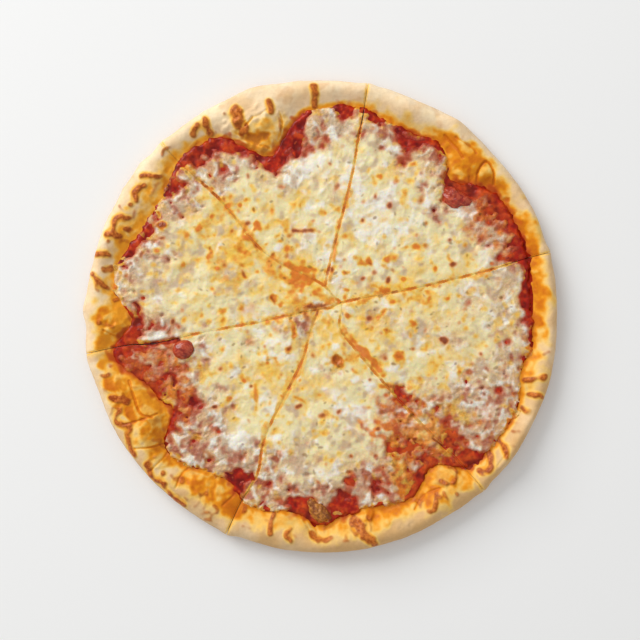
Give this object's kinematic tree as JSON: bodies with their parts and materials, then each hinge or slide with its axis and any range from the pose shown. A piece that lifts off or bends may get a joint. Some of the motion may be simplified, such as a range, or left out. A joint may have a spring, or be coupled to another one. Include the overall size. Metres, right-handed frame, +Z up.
{
  "type": "margherita pizza",
  "caption": "Round hand-stretched pizza with an uneven puffed rim, tomato sauce and melted shredded cheese, cut into slices that lie together.",
  "frame": {"origin": "under the middle of the pizza, on its flat underside", "axes": "+Z up through the toppings, +X to the right and +Y to the top of the pizza seen from above"},
  "size_m": [0.3037, 0.302, 0.0164],
  "materials": {
    "crust": "baked dough, matt and pale with golden and floury patches",
    "sauce": "wet tomato sauce",
    "cheese": "melted cheese, satin with an oily sheen",
    "tomato": "roasted tomato, wet and browned"
  },
  "bodies": {
    "root": {"crust_1": "crust", "crust_2": "crust", "crust_3": "crust", "crust_4": "crust", "crust_5": "crust", "crust_6": "crust", "sauce_1": "sauce", "sauce_2": "sauce", "sauce_3": "sauce", "sauce_4": "sauce", "sauce_5": "sauce", "sauce_6": "sauce", "cheese_1": "cheese", "cheese_2": "cheese", "cheese_3": "cheese", "cheese_4": "cheese", "cheese_5": "cheese", "cheese_6": "cheese", "tomato_1": "tomato", "tomato_2": "tomato", "tomato_3": "tomato"}
  },
  "joints": []
}
